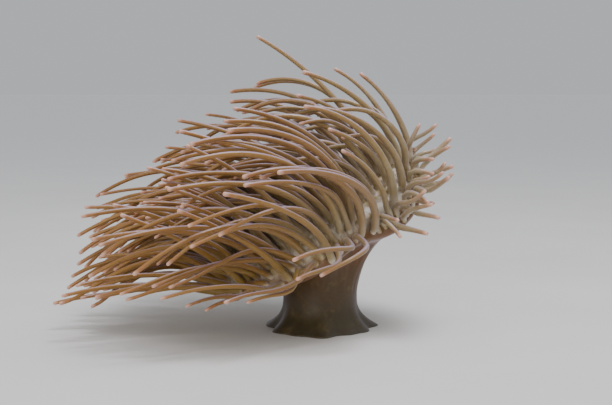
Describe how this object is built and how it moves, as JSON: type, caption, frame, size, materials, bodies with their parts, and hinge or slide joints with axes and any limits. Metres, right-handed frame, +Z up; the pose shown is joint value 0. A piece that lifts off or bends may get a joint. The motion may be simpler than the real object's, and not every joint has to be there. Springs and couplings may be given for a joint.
{
  "type": "magnificent sea anemone",
  "caption": "Life-size still model of a sea anemone: gripping foot, flared column and a tilted disc with mouth and long tentacles swept one way by the current.",
  "frame": {"origin": "centre of the foot's flat underside, on the floor", "axes": "+Z up; -X down-current, the way the tentacles stream; -Y is the front, which the picture shows"},
  "size_m": [0.2328, 0.2277, 0.1737],
  "materials": {
    "column_skin": "smooth wet olive-brown skin, more orange under the disc",
    "disc_skin": "wet cream skin with faint radial lines",
    "lip_skin": "wet folded cream-tan lips",
    "tentacle_skin": "wet translucent tan-orange with a pale lilac sheen and pinkish blunt tips"
  },
  "bodies": {
    "root": {"foot": "column_skin", "column_lower": "column_skin", "column_upper": "column_skin", "oral_disc_centre": "disc_skin", "mouth": "lip_skin", "inner_disc_01": "tentacle_skin", "inner_disc_02": "tentacle_skin", "inner_disc_03": "tentacle_skin", "inner_disc_04": "tentacle_skin", "inner_disc_05": "tentacle_skin", "inner_disc_06": "tentacle_skin", "inner_disc_07": "tentacle_skin", "inner_disc_08": "tentacle_skin", "margin_01": "tentacle_skin", "margin_02": "tentacle_skin", "margin_03": "tentacle_skin", "margin_04": "tentacle_skin", "margin_05": "tentacle_skin", "margin_06": "tentacle_skin", "margin_07": "tentacle_skin", "margin_08": "tentacle_skin", "margin_09": "tentacle_skin", "margin_10": "tentacle_skin", "margin_11": "tentacle_skin", "margin_12": "tentacle_skin", "margin_13": "tentacle_skin", "margin_14": "tentacle_skin", "margin_15": "tentacle_skin", "margin_16": "tentacle_skin", "tentacle_tip_01": "tentacle_skin", "tentacle_tip_02": "tentacle_skin", "tentacle_tip_03": "tentacle_skin", "tentacle_tip_04": "tentacle_skin", "tentacle_tip_05": "tentacle_skin", "tentacle_tip_06": "tentacle_skin", "tentacle_tip_07": "tentacle_skin", "tentacle_tip_08": "tentacle_skin", "tentacle_tip_09": "tentacle_skin", "tentacle_tip_10": "tentacle_skin", "tentacle_tip_11": "tentacle_skin", "tentacle_tip_12": "tentacle_skin", "tentacle_tip_13": "tentacle_skin", "tentacle_tip_14": "tentacle_skin", "tentacle_tip_15": "tentacle_skin", "tentacle_tip_16": "tentacle_skin", "tentacle_tip_17": "tentacle_skin", "tentacle_tip_18": "tentacle_skin", "tentacle_tip_19": "tentacle_skin", "tentacle_tip_20": "tentacle_skin", "tentacle_tip_21": "tentacle_skin"}
  },
  "joints": []
}
